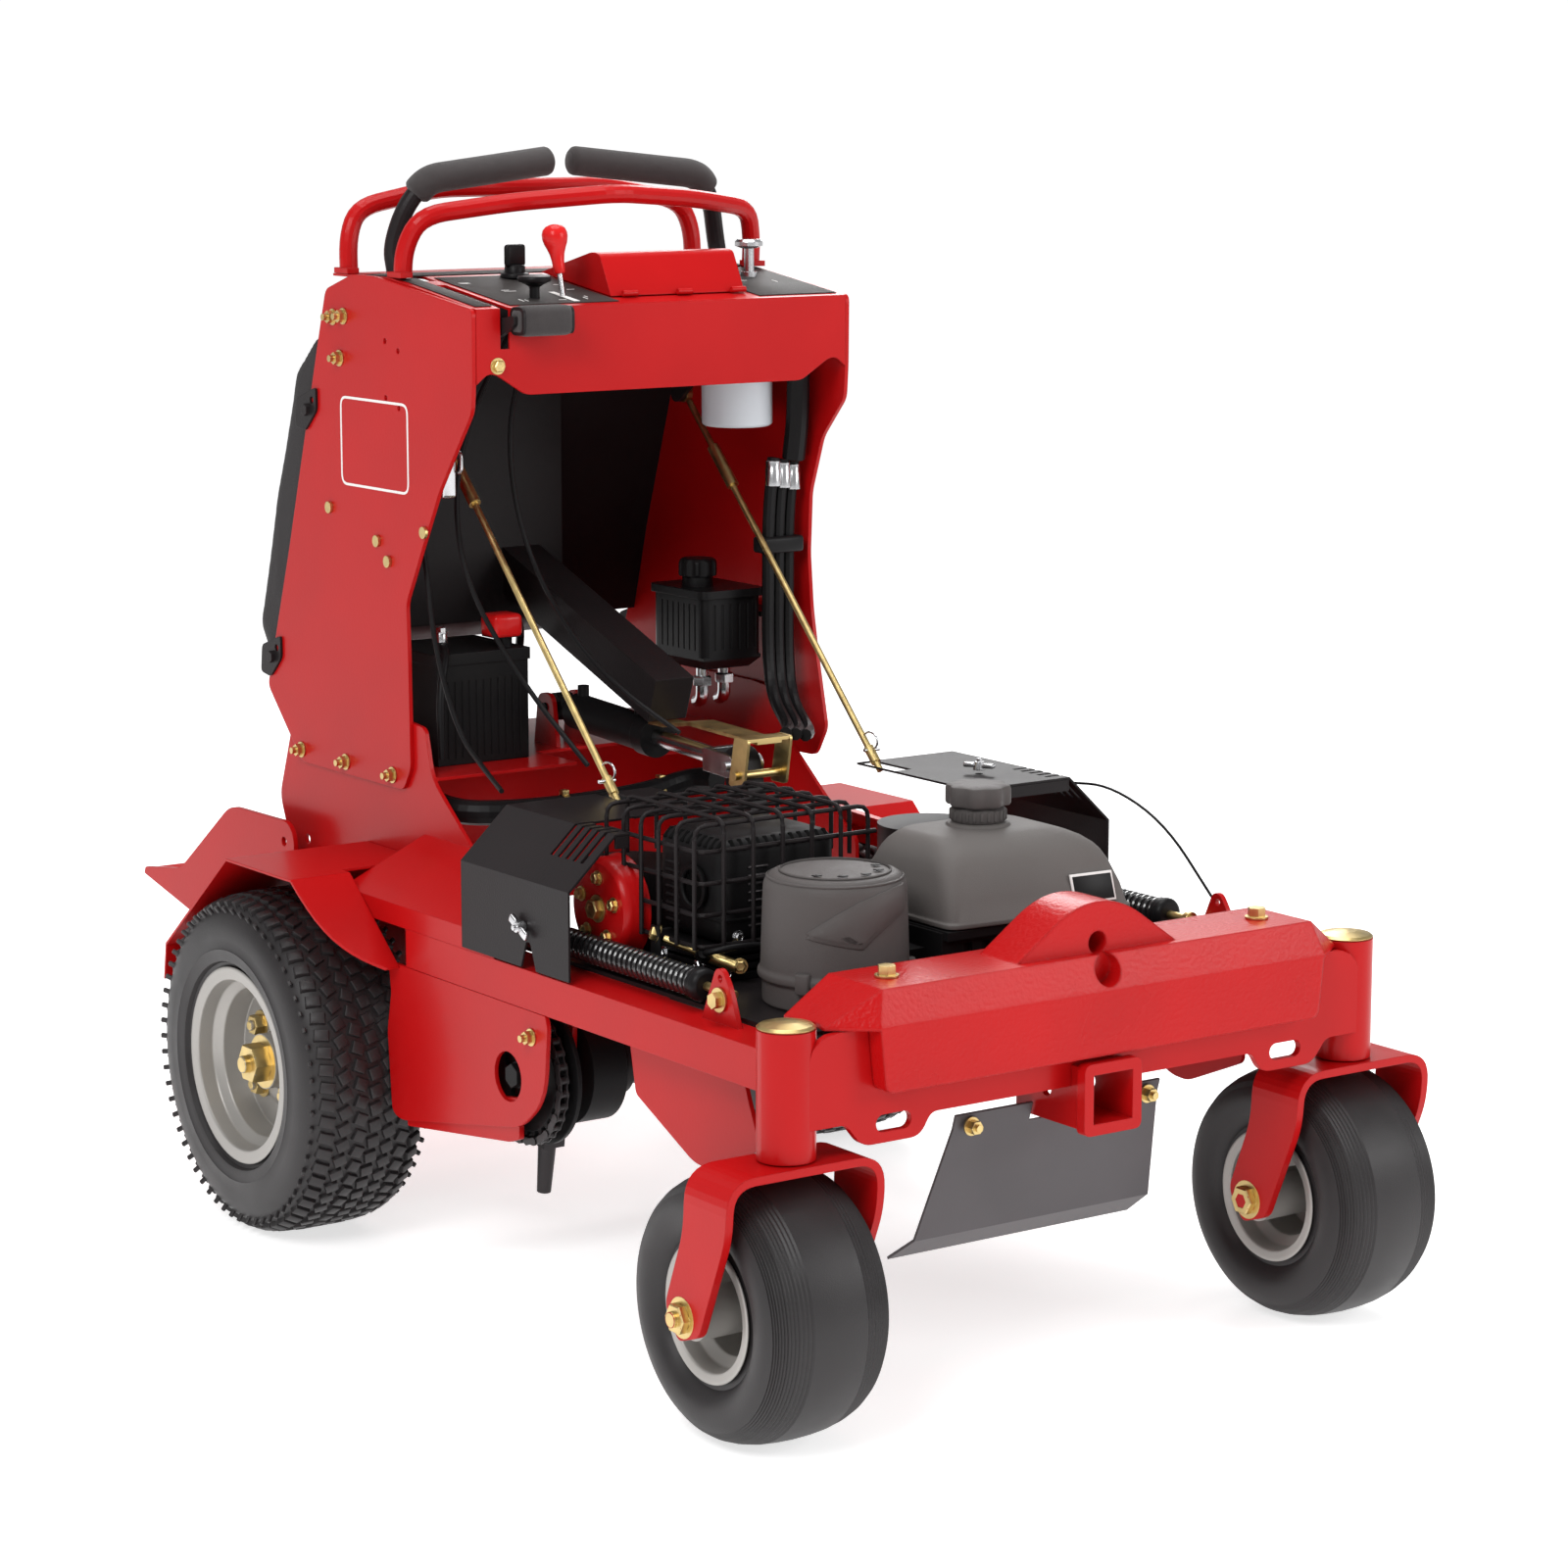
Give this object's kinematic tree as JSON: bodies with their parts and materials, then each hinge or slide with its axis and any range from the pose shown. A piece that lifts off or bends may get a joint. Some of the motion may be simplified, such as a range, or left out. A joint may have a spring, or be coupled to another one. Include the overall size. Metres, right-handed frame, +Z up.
{
  "type": "stand-on zero-turn turf aerator",
  "caption": "Stand-on zero-turn turf machine: rear drive wheels, front casters, control tower, engine, lifting coring head and folding platform.",
  "frame": {"origin": "on the ground, below the middle of the machine's bounding box", "axes": "+X to the machine's left, +Y to the rear, +Z up"},
  "size_m": [0.964, 1.6711, 1.2691],
  "materials": {
    "red_paint": "gloss powder coat",
    "black_paint": "satin powder coat",
    "grey_paint": "satin",
    "rim_paint": "satin silver grey paint",
    "yellow_zinc": "yellow zinc plating",
    "bright_steel": "bright zinc",
    "tine_steel": "bare steel, worn",
    "engine_black": "satin black engine paint",
    "muffler_steel": "matt heat-proof paint",
    "tyre_rubber": "black rubber",
    "black_plastic": "fine texture",
    "grey_plastic": "fine texture",
    "red_plastic": "gloss",
    "filter_white": "gloss white can",
    "foam": "closed-cell foam",
    "pad_vinyl": "black vinyl",
    "hose_rubber": "ribbed black rubber"
  },
  "bodies": {
    "root": {"main_frame": "red_paint", "hitch_receiver": "red_paint", "front_weight": "red_paint", "front_guard": "grey_paint", "chassis_sides": "red_paint", "fenders": "red_paint", "engine_deck": "black_paint", "fasteners": "yellow_zinc", "drive_motors": "engine_black", "tower_sides": "red_paint", "tower_front": "red_paint", "rear_panel": "black_paint", "hand_bars": "red_paint", "thigh_pad": "pad_vinyl", "pad_brackets": "black_paint", "engine_block": "engine_black", "muffler": "muffler_steel", "muffler_guard": "black_paint", "air_cleaner": "grey_plastic", "fuel_tank": "grey_plastic", "belt_covers": "black_paint", "battery": "black_plastic", "hydraulic_tank": "black_plastic", "oil_filter": "filter_white", "hoses_and_cables": "hose_rubber", "springs": "black_paint", "service_latch": "yellow_zinc"},
    "caster_right": {"caster_fork_right": "red_paint"},
    "caster_left": {"caster_fork_left": "red_paint"},
    "caster_wheel_right": {"caster_tyre_right": "tyre_rubber", "caster_rim_right": "rim_paint"},
    "caster_wheel_left": {"caster_tyre_left": "tyre_rubber", "caster_rim_left": "rim_paint"},
    "drive_wheel_right": {"drive_tyre_right": "tyre_rubber", "drive_rim_right": "rim_paint", "drive_hub_right": "rim_paint"},
    "drive_wheel_left": {"drive_tyre_left": "tyre_rubber", "drive_rim_left": "rim_paint", "drive_hub_left": "rim_paint"},
    "lever_right": {"drive_lever_right": "black_paint", "lever_grip_right": "foam"},
    "lever_left": {"drive_lever_left": "black_paint", "lever_grip_left": "foam"},
    "rod_right": {"control_rod_right": "yellow_zinc"},
    "rod_left": {"control_rod_left": "yellow_zinc"},
    "throttle": {"throttle_lever": "red_plastic"},
    "choke": {"choke_knob": "black_plastic"},
    "key": {"ignition_key": "black_plastic"},
    "head_control": {"head_lever": "black_paint"},
    "lid": {"console_lid": "red_paint"},
    "depth_control": {"depth_knob": "bright_steel"},
    "fuel_filler": {"fuel_cap": "black_plastic"},
    "hydraulic_filler": {"tank_cap": "black_plastic"},
    "head": {"tine_head": "black_paint", "drive_chain": "tine_steel"},
    "rotor": {"tine_rotor": "tine_steel"},
    "lift_barrel": {"lift_cylinder": "black_paint"},
    "lift_piston": {"lift_rod": "bright_steel"},
    "operator_platform": {"platform": "red_paint"},
    "drive_shaft": {"tine_drive": "engine_black"}
  },
  "joints": [
    {"name": "caster_swivel_right", "type": "hinge", "parent": "root", "child": "caster_right", "pos_m": [-0.372, -0.739, 0.299], "axis": [0, 0, 1], "continuous": true},
    {"name": "caster_swivel_left", "type": "hinge", "parent": "root", "child": "caster_left", "pos_m": [0.372, -0.739, 0.299], "axis": [0, 0, 1], "continuous": true},
    {"name": "caster_roll_right", "type": "hinge", "parent": "caster_right", "child": "caster_wheel_right", "pos_m": [-0.372, -0.695, 0.141], "axis": [1, 0, 0], "continuous": true},
    {"name": "caster_roll_left", "type": "hinge", "parent": "caster_left", "child": "caster_wheel_left", "pos_m": [0.372, -0.695, 0.141], "axis": [1, 0, 0], "continuous": true},
    {"name": "drive_roll_right", "type": "hinge", "parent": "root", "child": "drive_wheel_right", "pos_m": [-0.3845, 0.261, 0.203], "axis": [1, 0, 0], "continuous": true},
    {"name": "drive_roll_left", "type": "hinge", "parent": "root", "child": "drive_wheel_left", "pos_m": [0.3845, 0.261, 0.203], "axis": [1, 0, 0], "continuous": true},
    {"name": "lever_tilt_right", "type": "hinge", "parent": "root", "child": "lever_right", "pos_m": [-0.229, 0.218, 1.003], "axis": [1, 0, 0], "range_deg": [-10, 10], "stiffness_Nm_per_rad": 20},
    {"name": "lever_tilt_left", "type": "hinge", "parent": "root", "child": "lever_left", "pos_m": [0.229, 0.218, 1.003], "axis": [1, 0, 0], "range_deg": [-10, 10], "stiffness_Nm_per_rad": 20},
    {"name": "rod_travel_right", "type": "slide", "parent": "root", "child": "rod_right", "axis": [0, 0.7005, 0.7137], "range_m": [-0.011, 0.011]},
    {"name": "rod_travel_left", "type": "slide", "parent": "root", "child": "rod_left", "axis": [0, 0.7005, 0.7137], "range_m": [-0.011, 0.011]},
    {"name": "throttle_tilt", "type": "hinge", "parent": "root", "child": "throttle", "pos_m": [-0.112, 0.071, 1.08], "axis": [1, 0, 0], "range_deg": [-30, 15]},
    {"name": "choke_pull", "type": "slide", "parent": "root", "child": "choke", "axis": [0, 0, 1], "range_m": [0, 0.02]},
    {"name": "key_turn", "type": "hinge", "parent": "root", "child": "key", "pos_m": [-0.106, 0.191, 1.116], "axis": [0, 0, 1], "range_deg": [-90, 0]},
    {"name": "head_control_tilt", "type": "hinge", "parent": "root", "child": "head_control", "pos_m": [-0.219, 0.131, 1.06], "axis": [1, 0, 0], "range_deg": [-30, 0]},
    {"name": "lid_hinge", "type": "hinge", "parent": "root", "child": "lid", "pos_m": [0, 0.06, 1.1033], "axis": [1, 0, 0], "range_deg": [0, 28]},
    {"name": "depth_turn", "type": "hinge", "parent": "root", "child": "depth_control", "pos_m": [0.204, 0.156, 1.112], "axis": [0, 0, 1], "continuous": true},
    {"name": "fuel_cap_turn", "type": "hinge", "parent": "root", "child": "fuel_filler", "pos_m": [0.03, -0.527, 0.57], "axis": [0, 0, 1], "continuous": true},
    {"name": "hydraulic_cap_turn", "type": "hinge", "parent": "root", "child": "hydraulic_filler", "pos_m": [0.158, 0.201, 0.746], "axis": [0, 0, 1], "continuous": true},
    {"name": "head_lift", "type": "hinge", "parent": "root", "child": "head", "pos_m": [0, -0.204, 0.272], "axis": [1, 0, 0], "range_deg": [-15, 0]},
    {"name": "rotor_spin", "type": "hinge", "parent": "head", "child": "rotor", "pos_m": [0, 0.005, 0.222], "axis": [1, 0, 0], "continuous": true},
    {"name": "lift_barrel_tilt", "type": "hinge", "parent": "root", "child": "lift_barrel", "pos_m": [0, 0.266, 0.59], "axis": [1, 0, 0], "range_deg": [-20, 20]},
    {"name": "lift_stroke", "type": "slide", "parent": "lift_barrel", "child": "lift_piston", "axis": [0, -0.9988, -0.0487], "range_m": [-0.12, 0.12]},
    {"name": "platform_fold", "type": "hinge", "parent": "root", "child": "operator_platform", "pos_m": [0, 0.448, 0.424], "axis": [1, 0, 0], "range_deg": [0, 80]},
    {"name": "drive_shaft_spin", "type": "hinge", "parent": "root", "child": "drive_shaft", "pos_m": [0, -0.204, 0.272], "axis": [1, 0, 0], "continuous": true}
  ],
  "couplings": [
    {"joint": "rod_travel_right", "follows": "lever_tilt_right", "m_per_rad": 0.059682},
    {"joint": "rod_travel_left", "follows": "lever_tilt_left", "m_per_rad": 0.059682},
    {"joint": "rotor_spin", "follows": "drive_shaft_spin", "ratio": 1.9444},
    {"joint": "lift_barrel_tilt", "follows": "head_lift", "ratio": -0.36538},
    {"joint": "lift_stroke", "follows": "head_lift", "m_per_rad": 0.27025}
  ]
}
